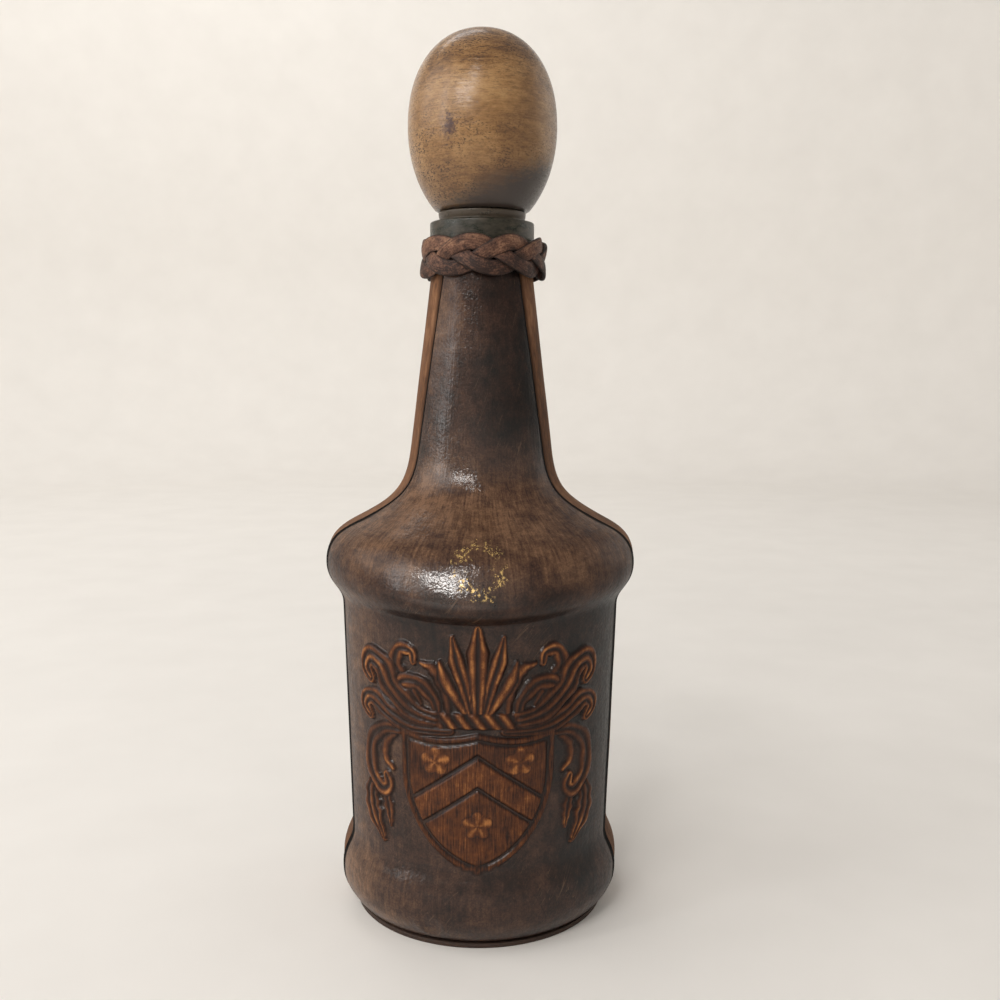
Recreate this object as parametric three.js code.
// Leather-wrapped decanter: a round glass bottle covered in moulded leather, with a braided
// leather collar under its lip and an egg-shaped wooden stopper on a cork.
// Millimetres, +Z up. The origin is the middle of the underside, and the front looks along -Y.
import * as THREE from "three";

// Gap left where a glued or seated piece meets its neighbour
const fitGap = 0.3;

// Glass bottle: radii of its outside
const heelRadius = 39.2;
const footRadius = 44.2;
const waistRadius = 41;
const bodyTopRadius = 43.2;
const shoulderRadius = 48.2;
const slopeRadius = 37.2;
const neckRootRadius = 21.3;
const neckTopRadius = 13.7;
const ringRadius = 16.5;
const lipRadius = 14;
const boreRadius = 9.6;

// Glass bottle: lengths from each of those stations to the next one up
const heelRise = 11.5;
const footTaper = 13.6;
const bodyLength = 73.5;
const shoulderSwell = 13.2;
const shoulderFall = 12.2;
const neckFlare = 22.3;
const neckLength = 62.6;
const ringHeight = 9.2;
const lipHeight = 3;
const boreLength = 32;

// Glass bottle: walls, edges, and the leans of the heel and the shoulder's slope from upright, in degrees
const glassWall = 3.6;
const glassFloor = 6;
const ringEdge = 1.3;
const lipEdge = 0.8;
const heelLean = 40;
const shoulderLean = -60;

// Leather cover
const panelThickness = 2.2;
const stripThickness = 1.3;
const stripWidth = 25.6;
const seamGroove = 0.8;
const soleThickness = 1.5;
const soleMargin = 0.1;
const soleEdge = 0.4;

// Braided collar: three flat thongs that each go round once in waves
const braidWaves = 3;
const braidSwing = 3.9;
const braidWeave = 0.7;
const thongWidth = 4.6;
const thongThickness = 0.95;
const braidDrop = 2.2;

// Stopper
const knobHeight = 55.2;
const knobRadius = 23.4;
const knobWaist = 25.3;
const knobSeatRadius = 14.6;
const corkLength = 26;
const corkTaper = 0.5;
const corkEdge = 1;
const dowelRadius = 4;
const dowelInKnob = 14;
const dowelInCork = 18;
const dowelEdge = 0.6;

// Faceting
const glassSegments = 32;
const panelColumns = 14;
const stripColumns = 6;
const curveSteps = 5;
const straightSteps = 3;
const strandSteps = 42;
const strandSides = 6;
const turnedSegments = 28;

const upright = 0;
const handleShare = 0.45;

// Heights from the surface that the decanter stands on. The cover's lower edge is square to the
// leaning heel, so it reaches below the glass, down to the sole.
const coverDepth = fitGap + panelThickness;
const glassBottom = soleThickness + fitGap + coverDepth * Math.sin(THREE.MathUtils.degToRad(heelLean));
const footHeight = glassBottom + heelRise;
const waistHeight = footHeight + footTaper;
const bodyTopHeight = waistHeight + bodyLength;
const shoulderHeight = bodyTopHeight + shoulderSwell;
const slopeHeight = shoulderHeight + shoulderFall;
const neckRootHeight = slopeHeight + neckFlare;
const ringBottom = neckRootHeight + neckLength;
const ringTop = ringBottom + ringHeight;
const mouthHeight = ringTop + lipHeight;
const seatHeight = mouthHeight + fitGap;

// Lean of a straight stretch from upright, in degrees, positive where it opens upwards
function leanOf(lowRadius, highRadius, length) {
  return THREE.MathUtils.radToDeg(Math.atan2(highRadius - lowRadius, length));
}

// Where the glass changes shape, from the heel up to the underside of the lip's ring
const bodyLean = leanOf(waistRadius, bodyTopRadius, bodyLength);
const neckLean = leanOf(neckRootRadius, neckTopRadius, neckLength);
const stations = [
  { r: heelRadius, z: glassBottom, lean: heelLean },
  { r: footRadius, z: footHeight, lean: upright },
  { r: waistRadius, z: waistHeight, lean: bodyLean },
  { r: bodyTopRadius, z: bodyTopHeight, lean: bodyLean },
  { r: shoulderRadius, z: shoulderHeight, lean: upright },
  { r: slopeRadius, z: slopeHeight, lean: shoulderLean },
  { r: neckRootRadius, z: neckRootHeight, lean: neckLean },
  { r: neckTopRadius, z: ringBottom, lean: neckLean },
];

function leanDirection(lean) {
  const angle = THREE.MathUtils.degToRad(lean);
  return new THREE.Vector2(Math.sin(angle), Math.cos(angle));
}

// The smooth curve between two stations, leaving and arriving along their leans
function curveBetween(low, high) {
  const start = new THREE.Vector2(low.r, low.z);
  const end = new THREE.Vector2(high.r, high.z);
  const reach = start.distanceTo(end) * handleShare;
  const leave = start.clone().addScaledVector(leanDirection(low.lean), reach);
  const arrive = end.clone().addScaledVector(leanDirection(high.lean), -reach);
  return new THREE.CubicBezierCurve(start, leave, arrive, end);
}

// Points up the outside of the glass, each with its outward normal. A stretch whose two ends
// lean alike is straight and needs fewer points: only the leather's slanting edges follow them.
function glassSide() {
  const side = [];
  stations.slice(1).forEach((high, i) => {
    const low = stations[i];
    const curve = curveBetween(low, high);
    const steps = low.lean === high.lean ? straightSteps : curveSteps;
    const first = i === 0 ? 0 : 1;
    for (let step = first; step <= steps; step++) {
      const t = step / steps;
      const tangent = curve.getTangent(t);
      const normal = new THREE.Vector2(tangent.y, -tangent.x);
      side.push({ point: curve.getPoint(t), normal });
    }
  });
  return side;
}

const side = glassSide();

// The same outline moved out by a distance, or in if it is negative
function offsetSide(distance) {
  return side.map(({ point, normal }) => point.clone().addScaledVector(normal, distance));
}

// The radius of an outline at a height
function radiusAt(outline, height) {
  const above = outline.findIndex((p) => p.y >= height);
  const [low, high] = [outline[above - 1], outline[above]];
  return THREE.MathUtils.mapLinear(height, low.y, high.y, low.x, high.x);
}

// A solid turned about Z from an outline that starts and ends on the axis
function turned(outline, segments) {
  return new THREE.LatheGeometry(outline, segments).rotateX(Math.PI / 2);
}

// The point at a radius, a height and an angle counted from the front
function around(radius, angle, height) {
  return new THREE.Vector3(radius * Math.sin(angle), -radius * Math.cos(angle), height);
}

function geometryOf(vertices, triangles) {
  const geometry = new THREE.BufferGeometry().setFromPoints(vertices);
  geometry.setIndex(triangles);
  geometry.computeVertexNormals();
  return geometry;
}

function meshOf(name, geometry, colour, roughness, metalness = 0) {
  const material = new THREE.MeshStandardMaterial({ color: colour, roughness, metalness });
  const mesh = new THREE.Mesh(geometry, material);
  mesh.name = name;
  return mesh;
}

// A sheet of leather wrapped on the bottle, from an inner to an outer outline. Its middle runs up
// the bottle at one angle, and spread gives half its width, as an angle, in a row of the outlines.
function wrappedSheet(inner, outer, middle, spread, columns) {
  const rows = outer.length;
  const vertices = [];
  for (const outline of [inner, outer]) {
    for (let row = 0; row < rows; row++) {
      const half = spread(row);
      const clear = outline === inner ? Math.cos(half / columns) : 1;
      for (let column = 0; column <= columns; column++) {
        const angle = middle + half * ((2 * column) / columns - 1);
        vertices.push(around(outline[row].x / clear, angle, outline[row].y));
      }
    }
  }
  const outside = rows * (columns + 1);
  const at = (row, column) => row * (columns + 1) + column;
  const triangles = [];
  const face = (a, b, c, d) => triangles.push(a, b, c, a, c, d);
  for (let row = 0; row < rows - 1; row++) {
    for (let column = 0; column < columns; column++) {
      const corners = [at(row, column), at(row, column + 1), at(row + 1, column + 1), at(row + 1, column)];
      const [a, b, c, d] = corners;
      face(a + outside, b + outside, c + outside, d + outside);
      face(d, c, b, a);
    }
    const [left, leftUp] = [at(row, 0), at(row + 1, 0)];
    const [right, rightUp] = [at(row, columns), at(row + 1, columns)];
    face(left, left + outside, leftUp + outside, leftUp);
    face(right + outside, right, rightUp, rightUp + outside);
  }
  for (let column = 0; column < columns; column++) {
    const [low, lowNext] = [at(0, column), at(0, column + 1)];
    const [high, highNext] = [at(rows - 1, column), at(rows - 1, column + 1)];
    face(low, lowNext, lowNext + outside, low + outside);
    face(high + outside, highNext + outside, highNext, high);
  }
  return geometryOf(vertices, triangles);
}

// Hollow bottle: inside from the middle of its floor, over the lip, and down the outside
function glassBottle() {
  const boreBottom = mouthHeight - boreLength;
  const floorHeight = glassBottom + glassFloor;
  const firstInside = side.findIndex(({ point }) => point.y >= floorHeight + glassWall);
  const wall = offsetSide(-glassWall).slice(firstInside);
  const inside = wall.filter((p) => p.y <= neckRootHeight);
  const outline = new THREE.Path();
  outline.moveTo(0, floorHeight);
  outline.lineTo(heelRadius - 2 * glassWall, floorHeight);
  outline.quadraticCurveTo(inside[0].x, floorHeight, inside[0].x, inside[0].y);
  inside.slice(1).forEach((p) => outline.lineTo(p.x, p.y));
  outline.lineTo(boreRadius, boreBottom);
  outline.lineTo(boreRadius, mouthHeight - lipEdge);
  outline.quadraticCurveTo(boreRadius, mouthHeight, boreRadius + lipEdge, mouthHeight);
  outline.lineTo(lipRadius - lipEdge, mouthHeight);
  outline.quadraticCurveTo(lipRadius, mouthHeight, lipRadius, mouthHeight - lipEdge);
  outline.lineTo(lipRadius, ringTop);
  outline.lineTo(ringRadius - ringEdge, ringTop);
  outline.quadraticCurveTo(ringRadius, ringTop, ringRadius, ringTop - ringEdge);
  outline.lineTo(ringRadius, ringBottom + ringEdge);
  outline.quadraticCurveTo(ringRadius, ringBottom, ringRadius - ringEdge, ringBottom);
  offsetSide(0)
    .reverse()
    .forEach((p) => outline.lineTo(p.x, p.y));
  outline.lineTo(0, glassBottom);
  const edgeSteps = 3;
  const geometry = turned(outline.getPoints(edgeSteps).reverse(), glassSegments);
  return meshOf("glass_bottle", geometry, 0x2c3324, 0.12);
}

// Leather stops short of the ring under the lip
function coverOutlines(thickness) {
  const stopHeight = ringBottom - fitGap;
  const trim = (outline) => {
    const last = outline[outline.length - 1];
    last.set(radiusAt(outline, stopHeight), stopHeight);
    return outline;
  };
  return [trim(offsetSide(fitGap)), trim(offsetSide(fitGap + thickness))];
}

// Strips and halves share their seams, which are measured on the outside of the halves
const [, seamOutline] = coverOutlines(panelThickness);

// One of the two moulded halves, whose edges stop at the grooves beside the side strips
function leatherPanel(name, middle) {
  const [inner, outer] = coverOutlines(panelThickness);
  const spread = (row) => Math.PI / 2 - (stripWidth / 2 + seamGroove) / seamOutline[row].x;
  const geometry = wrappedSheet(inner, outer, middle, spread, panelColumns);
  return meshOf(name, geometry, 0x3a2518, 0.4);
}

// The thinner tan strip that fills the side between the two halves
function sideStrip(name, middle) {
  const [inner, outer] = coverOutlines(stripThickness);
  const spread = (row) => stripWidth / 2 / seamOutline[row].x;
  const geometry = wrappedSheet(inner, outer, middle, spread, stripColumns);
  return meshOf(name, geometry, 0x8a5a38, 0.65);
}

// Leather disc that closes the underside and ends just outside the cover's lower edge
function leatherSole() {
  const soleRadius = seamOutline[0].x + soleMargin;
  const outline = [
    new THREE.Vector2(0, 0),
    new THREE.Vector2(soleRadius - soleEdge, 0),
    new THREE.Vector2(soleRadius, soleEdge),
    new THREE.Vector2(soleRadius, soleThickness),
    new THREE.Vector2(0, soleThickness),
  ];
  return meshOf("leather_sole", turned(outline, glassSegments), 0x1d130d, 0.6);
}

// One thong of the flat three-strand braid: it swings up and down while it weaves in and out
function braidStrand(index, strandCount) {
  const braidHeight = ringBottom - braidDrop;
  const braidFoot = braidHeight - braidSwing - thongWidth / 2;
  const seatRadius = Math.max(ringRadius, radiusAt(seamOutline, braidFoot)) + fitGap;
  const middleRadius = seatRadius + braidWeave + thongThickness / 2;
  const phase = (2 * Math.PI * index) / strandCount;
  const vertices = [];
  const triangles = [];
  for (let step = 0; step < strandSteps; step++) {
    const angle = (2 * Math.PI * step) / strandSteps;
    const wave = braidWaves * angle + phase;
    const radius = middleRadius + braidWeave * Math.sin(2 * wave);
    const height = braidHeight + braidSwing * Math.sin(wave);
    const climb = Math.atan2(braidSwing * braidWaves * Math.cos(wave), middleRadius);
    for (let corner = 0; corner < strandSides; corner++) {
      const turn = (2 * Math.PI * corner) / strandSides;
      const across = (thongWidth / 2) * Math.cos(turn);
      const out = (thongThickness / 2) * Math.sin(turn);
      const along = (-across * Math.sin(climb)) / radius;
      vertices.push(around(radius + out, angle + along, height + across * Math.cos(climb)));
      const next = ((step + 1) % strandSteps) * strandSides;
      const here = step * strandSides;
      const beside = (corner + 1) % strandSides;
      triangles.push(here + corner, here + beside, next + beside);
      triangles.push(here + corner, next + beside, next + corner);
    }
  }
  const geometry = geometryOf(vertices, triangles);
  return meshOf(`braid_strand_${index + 1}`, geometry, 0x7a4a2e, 0.6);
}

// Turned wooden egg with a flat seat and a blind hole for the dowel. Heights are from the seat.
function stopperKnob() {
  const holeRadius = dowelRadius + fitGap;
  const outline = [
    new THREE.Vector2(0, dowelInKnob + fitGap),
    new THREE.Vector2(holeRadius, dowelInKnob + fitGap),
    new THREE.Vector2(holeRadius, 0),
  ];
  const seatShare = Math.sqrt(1 - (knobSeatRadius / knobRadius) ** 2);
  const bellyReach = knobWaist / seatShare;
  const crownReach = knobHeight - knobWaist;
  const crownFullness = 2.2;
  const rings = 14;
  for (let ring = 0; ring < rings; ring++) {
    const slope = THREE.MathUtils.mapLinear(ring, 0, rings, -Math.asin(seatShare), Math.PI / 2);
    const crown = slope > 0;
    const power = crown ? 2 / crownFullness : 1;
    const reach = crown ? crownReach : -bellyReach;
    const height = knobWaist + reach * Math.abs(Math.sin(slope)) ** power;
    outline.push(new THREE.Vector2(knobRadius * Math.cos(slope) ** power, height));
  }
  outline.push(new THREE.Vector2(0, knobHeight));
  return meshOf("stopper_knob", turned(outline, turnedSegments), 0xa67c4a, 0.45);
}

// Tapered cork, glued under the knob, with a blind hole for the dowel
function stopperCork() {
  const holeRadius = dowelRadius + fitGap;
  const topRadius = boreRadius - fitGap;
  const footEnd = topRadius - corkTaper;
  const outline = [
    new THREE.Vector2(0, -corkLength),
    new THREE.Vector2(footEnd - corkEdge, -corkLength),
    new THREE.Vector2(footEnd, corkEdge - corkLength),
    new THREE.Vector2(topRadius, -fitGap),
    new THREE.Vector2(holeRadius, -fitGap),
    new THREE.Vector2(holeRadius, -dowelInCork - fitGap),
    new THREE.Vector2(0, -dowelInCork - fitGap),
  ];
  return meshOf("stopper_cork", turned(outline, turnedSegments), 0xb08a5c, 0.85);
}

// Wooden dowel that joins the knob and the cork
function stopperDowel() {
  const outline = [
    new THREE.Vector2(0, -dowelInCork),
    new THREE.Vector2(dowelRadius - dowelEdge, -dowelInCork),
    new THREE.Vector2(dowelRadius, dowelEdge - dowelInCork),
    new THREE.Vector2(dowelRadius, dowelInKnob - dowelEdge),
    new THREE.Vector2(dowelRadius - dowelEdge, dowelInKnob),
    new THREE.Vector2(0, dowelInKnob),
  ];
  const dowelSegments = 16;
  return meshOf("stopper_dowel", turned(outline, dowelSegments), 0xc0a06c, 0.7);
}

const front = 0;
const back = Math.PI;
const right = Math.PI / 2;
const left = -Math.PI / 2;

const bottle = new THREE.Group();
bottle.add(glassBottle());
bottle.add(leatherPanel("leather_front", front));
bottle.add(leatherPanel("leather_back", back));
bottle.add(sideStrip("side_strip_left", left));
bottle.add(sideStrip("side_strip_right", right));
bottle.add(leatherSole());

const braid = new THREE.Group();
const strandCount = 3;
for (let index = 0; index < strandCount; index++) {
  braid.add(braidStrand(index, strandCount));
}

const stopper = new THREE.Group();
stopper.position.z = seatHeight;
stopper.add(stopperKnob(), stopperCork(), stopperDowel());

const decanter = new THREE.Group();
decanter.add(bottle, braid, stopper);

export default decanter;
